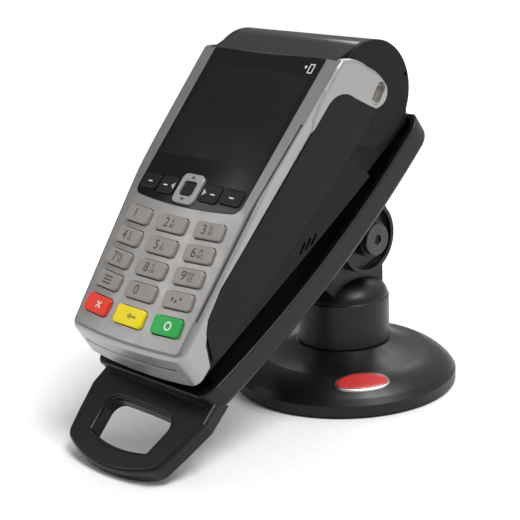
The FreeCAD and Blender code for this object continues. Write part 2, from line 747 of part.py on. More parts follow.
def rear_shell():
    """The black rear housing: the tub behind the boards, the drum's ends and the wall under the lid."""
    drum_disc = rod_x(0, DRUM_HALF_WIDTH, DRUM_CENTRE_Y, DRUM_CENTRE_Z, DRUM_RADIUS)
    drum_trim = box(DRUM_HALF_WIDTH - 1.2, 60, 45, 120, -70, 20).cut(drum_disc)
    ear_room = side_prism(EAR_OUTLINE, DRUM_HALF_WIDTH, 60)
    shell = casing_solid(REAR_INSET, 0.0).cut(casing_solid(SIDE_WALL, SKIN))
    side_tools = both_sides(drum_trim) + both_sides(ear_room) + wall_relief()
    for tool in [front_region(), lid_region(0.3)] + side_tools:
        shell = shell.cut(tool)
    knuckle = rod_x(25.5, 34.6, *lid_hinge_place(), KNUCKLE_PIN_RADIUS)
    body = union([biggest(shell)] + both_sides(knuckle) + screw_posts())
    barrel_room = rod_x(-25.3, 25.3, *lid_hinge_place(), KNUCKLE_PIN_RADIUS + 0.3)
    pin_hole = rod_x(-60, 60, *lid_hinge_place(), LID_HINGE_PIN_RADIUS)
    tools = [battery_opening(0.2), barrel_room, pin_hole, swipe_channel(), mag_head_room()]
    for tool in tools + vent_slots() + screw_wells():
        body = body.cut(tool)
    return biggest(body)


def vent_slots():
    """Three slanted slots low on the right side."""
    slots = []
    for i in range(3):
        slot = box(30.0, 60, -2.6, 2.6, -0.6, 0.6)
        slot.rotate(V(0, 0, 0), X_AXIS, 9)
        slot.translate(V(0, 3.7 + 2.9 * i, -33.2 - 1.4 * i))
        slots.append(slot)
    return slots


def biggest(shape):
    return max(shape.Solids, key=lambda solid: solid.Volume)


def lid_hinge_place():
    return on_drum(LID_HINGE_ANGLE, DRUM_RADIUS - 1.2)


def lid_region(grow=0.0):
    """The front and top of the drum that opens as the paper lid."""
    half = 34.6 + grow
    start = LID_EDGE_Y - grow
    stop = on_drum(LID_END_ANGLE - grow * 3, 40.0)
    centre = (DRUM_CENTRE_Y, DRUM_CENTRE_Z)
    return side_prism([(start, -4.8 - 2 * grow), (start, 30), (150, 30), stop, centre], -half, half)


def battery_opening(grow):
    """Opening in the back for the battery cover."""
    half = 27.0 + grow
    block = box(-half, half, -18 - grow, 44 + grow, -60, -30)
    return block


def battery_cover():
    """The sliding cover over the battery, flush with the back, with a ribbed thumb grip."""
    plate = casing_solid(REAR_INSET, 0.0).cut(casing_solid(SIDE_WALL, SKIN)).common(battery_opening(0.0))
    plate = biggest(plate)
    ribs = []
    for i in range(4):
        y = -12.0 + 2.6 * i
        z = -36.0 - math.tan(BACK_SLOPE) * y
        ribs.append(box(-9, 9, y, y + 1.0, z - 2.0, z + 0.4))
    return plate.cut(group(ribs))


USB_CENTRE = V(0, 71.6, -26.6)
USB_TILT = 9.0
USB_WIDTH = 6.8
USB_HEIGHT = 2.6
USB_WELL_FLOOR = 37.9


def usb_box(x0, x1, inset):
    """A block of the socket's mouth across the side, shrunk by the inset."""
    half_width, half_height = USB_WIDTH / 2 - inset, USB_HEIGHT / 2 - inset
    return placed(box(x0, x1, -half_width, half_width, -half_height, half_height),
                  Placement(USB_CENTRE, Rotation(X_AXIS, USB_TILT)))


def usb_recess():
    """Oval well in the right ear, and the socket mouth in it."""
    radius = 2.3
    reach = 2.5
    well = union([
        rod_x(USB_WELL_FLOOR, 60, -reach, 0, radius),
        rod_x(USB_WELL_FLOOR, 60, reach, 0, radius),
        box(USB_WELL_FLOOR, 60, -reach, reach, -radius, radius),
    ])
    well = placed(well, Placement(USB_CENTRE, Rotation(X_AXIS, USB_TILT)))
    return well.fuse(usb_box(DRUM_HALF_WIDTH - 1, 60, 0.0))


def usb_port():
    """The socket's metal shell in the right ear."""
    wall = 0.4
    return usb_box(DRUM_HALF_WIDTH + 0.1, USB_WELL_FLOOR, 0.0).cut(usb_box(DRUM_HALF_WIDTH + 0.5, 40, wall))


# ---------------------------------------------------------------- display and keys
def display_panel(openings):
    """The glossy black panel around the display, with openings for the window and the function keys."""
    plate = panel_block(0.0).common(casing_solid(0.0, 0.0)).cut(casing_solid(0.0, PANEL_THICKNESS))
    window = box(-WINDOW_HALF_WIDTH, WINDOW_HALF_WIDTH, WINDOW_BOTTOM_Y, WINDOW_TOP_Y, -10, 5)
    for tool in [window] + openings:
        plate = plate.cut(tool)
    return biggest(plate)


def display_glass():
    gap = 0.05
    half = WINDOW_HALF_WIDTH - gap
    pane = box(-half, half, WINDOW_BOTTOM_Y + gap, WINDOW_TOP_Y - gap, -10, 5)
    return face_layer(pane, 0.12, PANEL_THICKNESS)


def lcd_module():
    return box(-30.0, 30.0, 14.5, 64.0, -6.0, -2.75)


FUNCTION_KEYS = {
    "function_key_1": (-29.0, -18.6, 1.2, 7.6),
    "function_key_2": (-17.4, -7.9, 0.2, 7.6),
    "function_key_3": (7.9, 17.4, 0.2, 7.6),
    "function_key_4": (18.6, 29.0, 1.2, 7.6),
}
NAV_CENTRE_Y = 3.9
NAV_WIDTH = 12.2
NAV_HEIGHT = 13.0
OK_WIDTH = 6.8
OK_HEIGHT = 5.8
FUNCTION_KEY_PROUD = 0.5
NAV_PROUD = 0.9


def on_crown(shape, x, y):
    """Stands a piece made around the origin on the crowned face at (x, y)."""
    drop = x * x / (2 * FACE_CROWN_RADIUS)
    lean = math.degrees(x / FACE_CROWN_RADIUS)
    return placed(shape, Placement(V(x, y, -drop), Rotation(Y_AXIS, lean)))


def function_key(name, grow=0.0, top=FUNCTION_KEY_PROUD):
    x0, x1, y0, y1 = FUNCTION_KEYS[name]
    blank = rounded_plate(x1 - x0 + 2 * grow, y1 - y0 + 2 * grow, KEY_FOOT_Z, top, 1.2 + grow)
    if not grow:
        blank = rounded(blank, 0.3, lambda edge: edge.BoundBox.ZMin > top - 0.01)
    return on_crown(blank, (x0 + x1) / 2, (y0 + y1) / 2)


def nav_key(grow=0.0):
    """The silver rocker ring around the confirm button, which rocks up and down."""
    blank = rounded_plate(NAV_WIDTH + 2 * grow, NAV_HEIGHT + 2 * grow, KEY_FOOT_Z, NAV_PROUD, 2.6 + grow)
    if grow:
        return on_crown(blank, 0, NAV_CENTRE_Y)
    blank = rounded(blank, 0.4, lambda edge: edge.BoundBox.ZMin > NAV_PROUD - 0.01)
    eye = rounded_plate(OK_WIDTH + 0.8, OK_HEIGHT + 0.8, -10, 10, 1.6)
    return on_crown(blank.cut(eye), 0, NAV_CENTRE_Y)


def ok_key():
    blank = rounded_plate(OK_WIDTH, OK_HEIGHT, KEY_FOOT_Z, NAV_PROUD - 0.4, 1.2)
    blank = rounded(blank, 0.3, lambda edge: edge.BoundBox.ZMin > NAV_PROUD - 0.41)
    return on_crown(blank, 0, NAV_CENTRE_Y)


def nav_room():
    return nav_key(grow=0.5)


def key_layout():
    """Every keypad key: name, column (-1, 0, 1) and row (0 to 4, counted down)."""
    rows = [
        ["key_1", "key_2", "key_3"],
        ["key_4", "key_5", "key_6"],
        ["key_7", "key_8", "key_9"],
        ["key_menu", "key_0", "key_dot"],
        ["key_cancel", "key_clear", "key_enter"],
    ]
    return [(name, column - 1, row) for row, names in enumerate(rows) for column, name in enumerate(names)]


def keypad_key(column, row, grow=0.0):
    """A keypad key in the keypad's frame. Grown, it is the opening the key stands in."""
    width = OUTER_KEY_WIDTH if column else MIDDLE_KEY_WIDTH
    height = COLOUR_KEY_HEIGHT if row == 4 else KEY_HEIGHT
    top = 5.0 if grow else KEY_PROUD
    foot = -9.0 if grow else KEY_FOOT_Z
    blank = rounded_plate(width + 2 * grow, height + 2 * grow, foot, top, 1.3 + grow)
    if not grow:
        blank = rounded(blank, 0.45, lambda edge: edge.BoundBox.ZMin > top - 0.01)
    blank.rotate(V(0, 0, 0), Z_AXIS, column * OUTER_KEY_TURN)
    y = COLOUR_ROW_Y if row == 4 else FIRST_ROW_Y - KEY_ROW_PITCH * row
    return on_crown(blank, column * KEY_COLUMN_PITCH, y + abs(column) * OUTER_KEY_RISE)


def keypad_mat():
    """The rubber contact sheet under the keys."""
    return placed(box(-27.0, 27.0, -53.0, -4.0, -5.2, -4.4), KEYPAD_IN_TERMINAL)


def keypad_board():
    return placed(box(-27.0, 27.0, -53.0, -4.0, -6.4, -5.2), KEYPAD_IN_TERMINAL)


def main_board():
    """The main circuit board with its shielded processor and radio module."""
    board = box(-30, 30, 3.0, 58.0, -9.2, -7.8)
    processor = box(-22, -4, 10, 28, -11.4, -9.2)
    radio = box(4, 24, 30, 48, -11.0, -9.2)
    secure_chip = box(6, 16, 8, 18, -10.6, -9.2)
    return union([board, processor, radio, secure_chip])


def card_reader():
    """The smart-card contact block behind the card mouth, open for the card along its mid-plane."""
    block = box(-28.0, 28.0, -53.5, -16.0, -10.6, -6.6)
    slot = box(-27.2, 27.2, -60.0, -18.0, -8.2, -7.2)
    return placed(block.cut(slot), KEYPAD_IN_TERMINAL)


def mag_head():
    """The read head that faces the swipe slot from the inside."""
    x = half_width(-12, WALL_FLARE) - WALL_THICKNESS - SWIPE_SLOT_WIDTH
    return box(x - 2.6, x - 0.1, -18.0, -6.0, -13.5, -8.0)


def mag_head_room():
    x = half_width(-12, WALL_FLARE) - WALL_THICKNESS - SWIPE_SLOT_WIDTH
    return box(x - 6.0, x + 0.2, -18.3, -5.7, -13.8, -7.7)


BACK = Placement(V(0, 0, BACK_Z), Rotation(X_AXIS, -math.degrees(BACK_SLOPE)))


def battery_pack():
    cells = rounded(box(-26, 26, -14, 44, 2.6, 15.5), 2.0, lambda edge: runs_along(edge, X_AXIS))
    return placed(cells, BACK)


# ---------------------------------------------------------------- printer
def lid_blank():
    ring = casing_solid(REAR_INSET, 0.0).cut(casing_solid(SIDE_WALL, SKIN)).common(lid_region())
    return biggest(ring)


def paper_lid():
    """The opening cover over the paper roll, with its hinge barrel and two brackets for the platen."""
    hinge_y, hinge_z = lid_hinge_place()
    barrel = rod_x(-25, 25, hinge_y, hinge_z, KNUCKLE_PIN_RADIUS)
    knuckle_room = rod_x(25.2, 40, hinge_y, hinge_z, KNUCKLE_PIN_RADIUS + 0.3)
    bracket_side = [
        (69.9, -5.0),
        (76.5, -7.2),
        (76.0, PLATEN_Z - 0.5),
        (73.6, PLATEN_Z - 2.6),
        (71.0, PLATEN_Z - 2.6),
        (70.2, PLATEN_Z),
    ]
    bracket = side_prism(bracket_side, 28.8, 29.8)
    body = union([lid_blank(), barrel] + both_sides(bracket))
    pin_bore = rod_x(-60, 60, hinge_y, hinge_z, LID_HINGE_PIN_RADIUS + 0.05)
    shaft_bore = rod_x(-60, 60, PLATEN_Y, PLATEN_Z, 1.25)
    for tool in [pin_bore, shaft_bore] + both_sides(knuckle_room):
        body = body.cut(tool)
    return biggest(body)


def lid_pin():
    return rod_x(-33.4, 33.4, *lid_hinge_place(), LID_HINGE_PIN_RADIUS)


def tear_bar():
    """The serrated strip along the lid's front edge."""
    strip = box(-29.5, 29.5, LID_EDGE_Y, LID_EDGE_Y + 0.6, -6.6, -5.15)
    teeth = []
    pitch = 2.0
    for i in range(29):
        x = -28.0 + pitch * i
        tooth = plan_prism([(x - 0.8, 0), (x + 0.8, 0), (x, 0.34)], 0, 1.2)
        tooth.translate(V(0, 0, -6.2))
        tooth.rotate(V(0, 0, -5.6), X_AXIS, 180)
        tooth.translate(V(0, LID_EDGE_Y, 0))
        teeth.append(tooth)
    return union([strip] + teeth)


def gear(teeth, width, bore):
    """A spur gear around the X axis with straight-flanked teeth, one of them centred on +Y."""
    pitch_radius = GEAR_MODULE * teeth / 2
    root = pitch_radius - 1.15 * GEAR_MODULE
    tip = pitch_radius + 0.9 * GEAR_MODULE
    points = []
    for i in range(teeth):
        middle = 2 * math.pi * i / teeth
        for offset, radius in ((-0.31, root), (-0.11, tip), (0.11, tip), (0.31, root)):
            angle = middle + offset * 2 * math.pi / teeth
            points.append((radius * math.cos(angle), radius * math.sin(angle)))
    return side_prism(points, 0, width).cut(rod_x(-1, width + 1, 0, 0, bore))


def drive_place():
    """Axis of the drive gear: behind the platen, along the path the platen takes when the lid opens."""
    hinge_y, hinge_z = lid_hinge_place()
    arm_y = PLATEN_Y - hinge_y
    arm_z = PLATEN_Z - hinge_z
    arm = math.hypot(arm_y, arm_z)
    centres = GEAR_MODULE * (PLATEN_TEETH + DRIVE_TEETH) / 2 + 0.08
    return PLATEN_Y - centres * arm_z / arm, PLATEN_Z + centres * arm_y / arm


def platen_gear():
    """Small gear on the platen's shaft, turned so that a tooth gap faces the drive gear."""
    y, z = drive_place()
    to_drive = math.degrees(math.atan2(z - PLATEN_Z, y - PLATEN_Y))
    wheel = gear(PLATEN_TEETH, GEAR_WIDTH, 1.2)
    wheel.rotate(V(0, 0, 0), X_AXIS, to_drive + 180.0 / PLATEN_TEETH)
    wheel.translate(V(GEAR_X, PLATEN_Y, PLATEN_Z))
    return wheel


def platen_roller():
    rubber = rod_x(-28.4, 28.4, PLATEN_Y, PLATEN_Z, PLATEN_RADIUS)
    shaft = rod_x(-30.2, GEAR_X + GEAR_WIDTH, PLATEN_Y, PLATEN_Z, 1.2)
    return rubber.fuse(shaft)


def drive_gear():
    """The motor's gear on its shaft, with a tooth pointing at the platen gear."""
    y, z = drive_place()
    to_platen = math.degrees(math.atan2(PLATEN_Z - z, PLATEN_Y - y))
    wheel = gear(DRIVE_TEETH, GEAR_WIDTH, 0.8)
    wheel.rotate(V(0, 0, 0), X_AXIS, to_platen)
    wheel.translate(V(GEAR_X, y, z))
    shaft = rod_x(28.75, GEAR_X + GEAR_WIDTH, y, z, 1.0)
    return wheel.fuse(shaft)


def feed_motor():
    """The paper feed motor and its gearbox plate."""
    y, z = drive_place()
    can = rod_x(13.0, 28.7, 54.5, -15.2, 5.0)
    outline = [(50.0, -20.2), (66.6, -20.2), (66.6, -14.0), (61.5, -14.0), (58.0, -10.6), (50.0, -10.6)]
    plate = side_prism(outline, 28.7, 29.5)
    return can.fuse(plate).cut(rod_x(28, 30, y, z, 1.05))


def printer_frame():
    """The cross bar behind the print head, with the cheek that carries the drive gear's shaft."""
    y, z = drive_place()
    bar_top = PLATEN_Z + 0.6
    bar = box(-30.5, 30.5, 62.6, 67.2, bar_top - 3.6, bar_top)
    cheek = box(29.6, 30.5, 60.0, 67.2, PLATEN_Z - 9.2, bar_top)
    return union([bar, cheek]).cut(rod_x(29, 31, y, z, 1.05))


def print_head():
    return box(-26.0, 26.0, 67.2, PLATEN_Y - PLATEN_RADIUS - 0.1, PLATEN_Z - 2.8, PLATEN_Z + 2.4)


def paper_roll():
    full = rod_x(-ROLL_HALF_WIDTH, ROLL_HALF_WIDTH, ROLL_Y, ROLL_Z, ROLL_RADIUS)
    return full.cut(rod_x(-FAR, FAR, ROLL_Y, ROLL_Z, ROLL_CORE_RADIUS))


def casing_screw_places():
    return [(x, y) for x in (-29.6, 29.6) for y in (-40.0, 47.5)]


def casing_screws():
    screws = []
    for x, y in casing_screw_places():
        seat = back_z(y) + 2.2
        screws.append(rod_z(x, y, seat - 1.4, seat, 2.2).fuse(rod_z(x, y, seat, seat + 7.0, 1.1)))
    return group(screws)


def screw_wells():
    """Recesses in the back for the casing screws' heads, and their through holes."""
    tools = []
    for x, y in casing_screw_places():
        seat = back_z(y) + 2.2
        tools.append(rod_z(x, y, seat - 8, seat, 2.4).fuse(rod_z(x, y, seat, seat + 9, 1.15)))
    return tools


def screw_posts():
    posts = []
    for x, y in casing_screw_places():
        seat = back_z(y) + 1.0
        posts.append(rod_z(x, y, seat, seat + 9.0, 3.0))
    return posts


# ---------------------------------------------------------------- assembly
def stand_parts():
    return {
        "base_shell": base_shell(),
        "ballast_plate": ballast_plate(),
        "base_pad": base_pad(),
        "base_screws": base_screws(),
        "swivel_bush": swivel_bush(),
        "swivel_bolt": swivel_bolt(),
        "neck": neck(),
        "friction_washers": friction_washers(),
        "tilt_bolt": tilt_bolt(),
        "tilt_nut": tilt_nut(),
        "cradle": cradle(),
        "adapter_plate": adapter_plate(),
        "adapter_screws": adapter_screws(),
    }


def terminal_parts():
    """Every piece of the terminal, in the terminal's own frame."""
    key_openings = []
    pieces = {}
    for name, column, row in key_layout():
        pieces[name] = placed(keypad_key(column, row), KEYPAD_IN_TERMINAL)
        key_openings.append(placed(keypad_key(column, row, KEY_GAP), KEYPAD_IN_TERMINAL))
    panel_openings = [function_key(name, KEY_GAP, 5.0) for name in FUNCTION_KEYS] + [nav_room()]
    for name in FUNCTION_KEYS:
        pieces[name] = function_key(name)
    pieces["nav_key"] = nav_key()
    pieces["ok_key"] = ok_key()
    pieces["front_shell"] = front_shell(key_openings + panel_openings)
    pieces["rear_shell"] = rear_shell()
    pieces["swipe_wall"] = side_wall()
    pieces["left_grip"] = mirrored(side_wall())
    pieces["display_panel"] = display_panel(panel_openings)
    pieces["display_glass"] = display_glass()
    pieces["lcd_module"] = lcd_module()
    pieces["keypad_mat"] = keypad_mat()
    pieces["keypad_board"] = keypad_board()
    pieces["main_board"] = main_board()
    pieces["card_reader"] = card_reader()
    pieces["mag_head"] = mag_head()
    pieces["battery_pack"] = battery_pack()
    pieces["battery_cover"] = battery_cover()
    pieces["printer_frame"] = printer_frame()
    pieces["print_head"] = print_head()
    pieces["feed_motor"] = feed_motor()
    pieces["drive_gear"] = drive_gear()
    pieces["platen_gear"] = platen_gear()
    pieces["platen_roller"] = platen_roller()
    pieces["paper_roll"] = paper_roll()
    pieces["paper_lid"] = paper_lid()
    pieces["tear_bar"] = tear_bar()
    pieces["lid_pin"] = lid_pin()
    pieces["usb_port"] = usb_port()
    pieces["casing_screws"] = casing_screws()
    return pieces


def main():
    os.makedirs(OUT, exist_ok=True)
    for name, shape in stand_parts().items():
        save(name, shape)
    for name, shape in terminal_parts().items():
        save(name, placed(shape, TERMINAL))


main()
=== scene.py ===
import json
import math

import bpy
import bmesh
from mathutils import Matrix, Vector
from mathutils.bvhtree import BVHTree


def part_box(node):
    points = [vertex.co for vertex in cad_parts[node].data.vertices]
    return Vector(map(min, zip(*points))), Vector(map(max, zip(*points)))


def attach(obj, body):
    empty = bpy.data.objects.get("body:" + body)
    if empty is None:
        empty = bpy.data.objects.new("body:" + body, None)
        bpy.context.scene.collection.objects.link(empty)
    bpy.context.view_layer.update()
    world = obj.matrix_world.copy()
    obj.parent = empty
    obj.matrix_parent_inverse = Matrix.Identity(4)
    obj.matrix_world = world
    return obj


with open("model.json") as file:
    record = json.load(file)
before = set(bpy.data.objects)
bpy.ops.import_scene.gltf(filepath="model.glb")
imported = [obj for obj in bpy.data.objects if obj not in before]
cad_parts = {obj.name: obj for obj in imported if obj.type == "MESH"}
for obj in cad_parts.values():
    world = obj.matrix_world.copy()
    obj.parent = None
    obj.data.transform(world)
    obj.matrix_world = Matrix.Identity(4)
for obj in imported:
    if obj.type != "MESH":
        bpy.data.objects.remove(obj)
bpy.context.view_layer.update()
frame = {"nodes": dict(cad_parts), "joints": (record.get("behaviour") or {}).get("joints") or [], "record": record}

# Looks of a card payment terminal in its tilting counter stand.
# Everything is in metres, in the CAD frame: X to the user's right, Y away from the user, Z up.

NODES = frame["nodes"]
JOINTS = {joint["name"]: joint for joint in frame["joints"]}
MM = 0.001

# CROWN_RADIUS is the curve across the terminal's face, KEY_TURN the outer keys' turn to each side.
CROWN_RADIUS = 417 * MM
KEY_TURN = math.radians(4.0)
INK_THICKNESS = 0.05 * MM
NUMERAL_SIZE = 5.6 * MM
LETTER_SIZE = 2.3 * MM


# ---------------------------------------------------------------- node helpers
def new_material(name):
    """A material with an empty principled shader, and its node tree."""
    material = bpy.data.materials.new(name)
    material.use_nodes = True
    tree = material.node_tree
    return material, tree, tree.nodes["Principled BSDF"]


def add(tree, kind, **sockets):
    """Adds a node and sets or links its sockets by name."""
    node = tree.nodes.new(kind)
    for name, value in sockets.items():
        socket = node.inputs[name.replace("_", " ")]
        if isinstance(value, bpy.types.NodeSocket):
            tree.links.new(value, socket)
        else:
            socket.default_value = value
    return node


def noise(tree, where, size, detail=2.0, roughness=0.5):
    """Noise whose features are about the given size in metres."""
    node = add(tree, "ShaderNodeTexNoise", Vector=where, Scale=1.0 / size, Detail=detail,
               Roughness=roughness)
    return node.outputs["Fac"]


def spread(tree, value, low, high, start=0.3, stop=0.7):
    """Maps a factor onto a range of numbers."""
    node = tree.nodes.new("ShaderNodeMapRange")
    tree.links.new(value, node.inputs["Value"])
    node.inputs["From Min"].default_value = start
    node.inputs["From Max"].default_value = stop
    node.inputs["To Min"].default_value = low
    node.inputs["To Max"].default_value = high
    return node.outputs["Result"]


def maths(tree, operation, first, second):
    """One operation on two values, each a number or a socket."""
    node = tree.nodes.new("ShaderNodeMath")
    node.operation = operation
    for socket, value in zip(node.inputs, (first, second)):
        if isinstance(value, bpy.types.NodeSocket):
            tree.links.new(value, socket)
        else:
            socket.default_value = value
    return node.outputs[0]


def mixed(tree, factor, first, second):
    """Mixes two colours, each an RGB triple or a socket."""
    node = tree.nodes.new("ShaderNodeMix")
    node.data_type = "RGBA"
    tree.links.new(factor, node.inputs[0])
    for index, value in ((6, first), (7, second)):
        if isinstance(value, bpy.types.NodeSocket):
            tree.links.new(value, node.inputs[index])
        else:
            node.inputs[index].default_value = (*value, 1.0)
    return node.outputs[2]


def soft_normal(tree, radius):
    """The surface normal with its sharp edges rounded by the radius."""
    node = tree.nodes.new("ShaderNodeBevel")
    node.samples = 6
    node.inputs["Radius"].default_value = radius
    return node.outputs["Normal"]


def bump(tree, height, distance, strength, normal=None):
    """A normal bumped by a height, on top of another normal if one is given."""
    node = tree.nodes.new("ShaderNodeBump")
    node.inputs["Distance"].default_value = distance
    node.inputs["Strength"].default_value = strength
    tree.links.new(height, node.inputs["Height"])
    if normal is not None:
        tree.links.new(normal, node.inputs["Normal"])
    return node.outputs["Normal"]


def edge_wear_and_highlight(tree, normal):
    """A factor that rises where the rounded normal leaves the true one: along edges. It masks rubbed edges and
    edges that get a painted highlight.
    """
    true_normal = tree.nodes.new("ShaderNodeNewGeometry").outputs["Normal"]
    node = tree.nodes.new("ShaderNodeVectorMath")
    node.operation = "DOT_PRODUCT"
    tree.links.new(true_normal, node.inputs[0])
    tree.links.new(normal, node.inputs[1])
    return spread(tree, node.outputs["Value"], 1.0, 0.0, 0.80, 0.99)


def object_place(tree):
    """The place in the object's own coordinates, in metres."""
    return tree.nodes.new("ShaderNodeTexCoord").outputs["Object"]


def moulded(name, colour, roughness, grain=0.25 * MM, relief=0.02 * MM, edge=0.35 * MM,
            worn_and_highlight_colour=None, specular=0.4, mottle=0.12):
    """Moulded plastic: fine texture, slow drift of tone and gloss, edges rubbed and painted paler as a highlight.
    """
    material, tree, shader = new_material(name)
    place = object_place(tree)
    drift = noise(tree, place, 24 * MM, 3.0)
    handled = noise(tree, place, 7 * MM, 4.0)
    fine = noise(tree, place, grain, 2.0)
    soft = soft_normal(tree, edge)
    edge_mask = maths(tree, "MULTIPLY", edge_wear_and_highlight(tree, soft), spread(tree, handled, 0.25, 1.0))
    darker = tuple(c * (1.0 - mottle) for c in colour)
    lighter = tuple(c * (1.0 + mottle) for c in colour)
    tone = mixed(tree, spread(tree, drift, 0.0, 1.0), darker, lighter)
    speck = mixed(tree, spread(tree, fine, 0.0, 0.35), tone, tuple(c * 0.7 for c in colour))
    # Edges take a paler colour: a painted highlight along the edges, mixed with rubbing.
    rubbed_and_highlight_colour = worn_and_highlight_colour or tuple(min(1.0, c * 1.6 + 0.01) for c in colour)
    tree.links.new(mixed(tree, edge_mask, speck, rubbed_and_highlight_colour), shader.inputs["Base Color"])
    dull = spread(tree, handled, roughness - 0.05, roughness + 0.06)
    polish = maths(tree, "MULTIPLY", edge_mask, 0.1)
    tree.links.new(maths(tree, "SUBTRACT", dull, polish), shader.inputs["Roughness"])
    tree.links.new(bump(tree, fine, relief, 0.6, soft), shader.inputs["Normal"])
    shader.inputs["Specular IOR Level"].default_value = specular
    return material


def key_plastic(name, colour, roughness, worn_and_highlight_colour, mottle):
    """A key's smooth moulding, its edges painted paler: a painted highlight mixed with rubbing."""
    return moulded(name, colour, roughness, grain=0.16 * MM, relief=0.008 * MM, edge=0.25 * MM,
                   worn_and_highlight_colour=worn_and_highlight_colour, mottle=mottle)


def silver_paint(name, colour, metallic=0.7, roughness=0.32):
    """Satin metallic paint: fine bright flakes under a thin lacquer."""
    material, tree, shader = new_material(name)
    place = object_place(tree)
    flakes = add(tree, "ShaderNodeTexVoronoi", Vector=place, Scale=1.0 / (0.16 * MM))
    sparkle = tree.nodes.new("ShaderNodeSeparateColor")
    tree.links.new(flakes.outputs["Color"], sparkle.inputs["Color"])
    drift = noise(tree, place, 30 * MM, 3.0)
    handled = noise(tree, place, 6 * MM, 4.0)
    dim = tuple(c * 0.86 for c in colour)
    bright = tuple(min(1.0, c * 1.14) for c in colour)
    tone = mixed(tree, spread(tree, drift, 0.0, 1.0), tuple(c * 0.96 for c in colour), colour)
    flecked = mixed(tree, spread(tree, sparkle.outputs["Red"], 0.0, 0.55, 0.5, 1.0), tone, bright)
    flecked = mixed(tree, spread(tree, sparkle.outputs["Green"], 0.0, 0.5, 0.6, 1.0), flecked, dim)
    soft = soft_normal(tree, 0.3 * MM)
    edge_mask = maths(tree, "MULTIPLY", edge_wear_and_highlight(tree, soft), spread(tree, handled, 0.0, 0.6))
    bare_plastic = (0.34, 0.33, 0.32)
    tree.links.new(mixed(tree, edge_mask, flecked, bare_plastic), shader.inputs["Base Color"])
    satin = spread(tree, handled, roughness - 0.04, roughness + 0.06)
    tree.links.new(satin, shader.inputs["Roughness"])
    tree.links.new(bump(tree, sparkle.outputs["Blue"], 0.012 * MM, 0.25, soft), shader.inputs["Normal"])
    shader.inputs["Metallic"].default_value = metallic
    shader.inputs["Coat Weight"].default_value = 0.25
    shader.inputs["Coat Roughness"].default_value = 0.25
    return material


def gloss(name, colour, roughness, streak=0.03, edge=0.25 * MM):
    """Polished plastic with faint wipe marks and dust in its gloss."""
    material, tree, shader = new_material(name)
    place = object_place(tree)
    stretch = add(tree, "ShaderNodeMapping", Vector=place, Scale=(1.0, 6.0, 6.0))
    wiped = noise(tree, stretch.outputs["Vector"], 30 * MM, 5.0, 0.6)
    dust = noise(tree, place, 0.5 * MM, 2.0)
    drift = noise(tree, place, 40 * MM, 2.0)
    tone = mixed(tree, spread(tree, drift, 0.0, 1.0), colour, tuple(c * 1.25 for c in colour))
    dust_grey = (0.12, 0.12, 0.12)
    tone = mixed(tree, spread(tree, dust, 0.0, 0.25, 0.66, 0.8), tone, dust_grey)
    tree.links.new(tone, shader.inputs["Base Color"])
    tree.links.new(spread(tree, wiped, roughness, roughness + streak), shader.inputs["Roughness"])
    soft = soft_normal(tree, edge)
    tree.links.new(bump(tree, drift, 0.05 * MM, 0.15, soft), shader.inputs["Normal"])
    shader.inputs["Specular IOR Level"].default_value = 0.36
    return material


def metal(name, colour, roughness, stretch=(40.0, 1.0, 1.0), edge=0.2 * MM):
    """Drawn or turned metal: fine lines along one direction, and edges painted brighter as a highlight."""
    material, tree, shader = new_material(name)
    place = object_place(tree)
    lines = add(tree, "ShaderNodeMapping", Vector=place, Scale=stretch)
    brushed = noise(tree, lines.outputs["Vector"], 3 * MM, 6.0, 0.7)
    stain = noise(tree, place, 9 * MM, 4.0)
    soft = soft_normal(tree, edge)
    tone = mixed(tree, spread(tree, stain, 0.0, 1.0), tuple(c * 0.8 for c in colour), colour)
    # Edges painted brighter: a painted highlight.
    tone = mixed(tree, edge_wear_and_highlight(tree, soft), tone, tuple(min(1.0, c * 1.3 + 0.05) for c in colour))
    tree.links.new(tone, shader.inputs["Base Color"])
    tree.links.new(spread(tree, brushed, roughness - 0.07, roughness + 0.1), shader.inputs["Roughness"])
    tree.links.new(bump(tree, brushed, 0.01 * MM, 0.5, soft), shader.inputs["Normal"])
    shader.inputs["Metallic"].default_value = 1.0
    return material


def smoked_window(name):
    """The display's smoked cover, with a slow drift of tone and faint smears."""
    material, tree, shader = new_material(name)
    place = object_place(tree)
    drift = noise(tree, place, 50 * MM, 2.0)
    smear = noise(tree, place, 12 * MM, 5.0, 0.6)
    smoke, lighter = (0.0095, 0.0088, 0.008), (0.017, 0.0155, 0.014)
    tone = mixed(tree, spread(tree, drift, 0.0, 1.0, 0.35, 0.65), smoke, lighter)
    tree.links.new(tone, shader.inputs["Base Color"])
    tree.links.new(spread(tree, smear, 0.16, 0.24), shader.inputs["Roughness"])
    tree.links.new(bump(tree, smear, 0.02 * MM, 0.1), shader.inputs["Normal"])
    shader.inputs["Specular IOR Level"].default_value = 0.24
    return material


def rubber(name):
    """Dull black rubber with fine pores and paler scuffs."""
    material, tree, shader = new_material(name)
    place = object_place(tree)
    pores = noise(tree, place, 0.6 * MM, 4.0, 0.7)
    scuff = noise(tree, place, 8 * MM, 4.0)
    tone = mixed(tree, spread(tree, scuff, 0.0, 1.0), (0.014, 0.014, 0.014), (0.035, 0.034, 0.033))
    tree.links.new(tone, shader.inputs["Base Color"])
    tree.links.new(spread(tree, pores, 0.72, 0.9), shader.inputs["Roughness"])
    tree.links.new(bump(tree, pores, 0.05 * MM, 0.7), shader.inputs["Normal"])
    return material


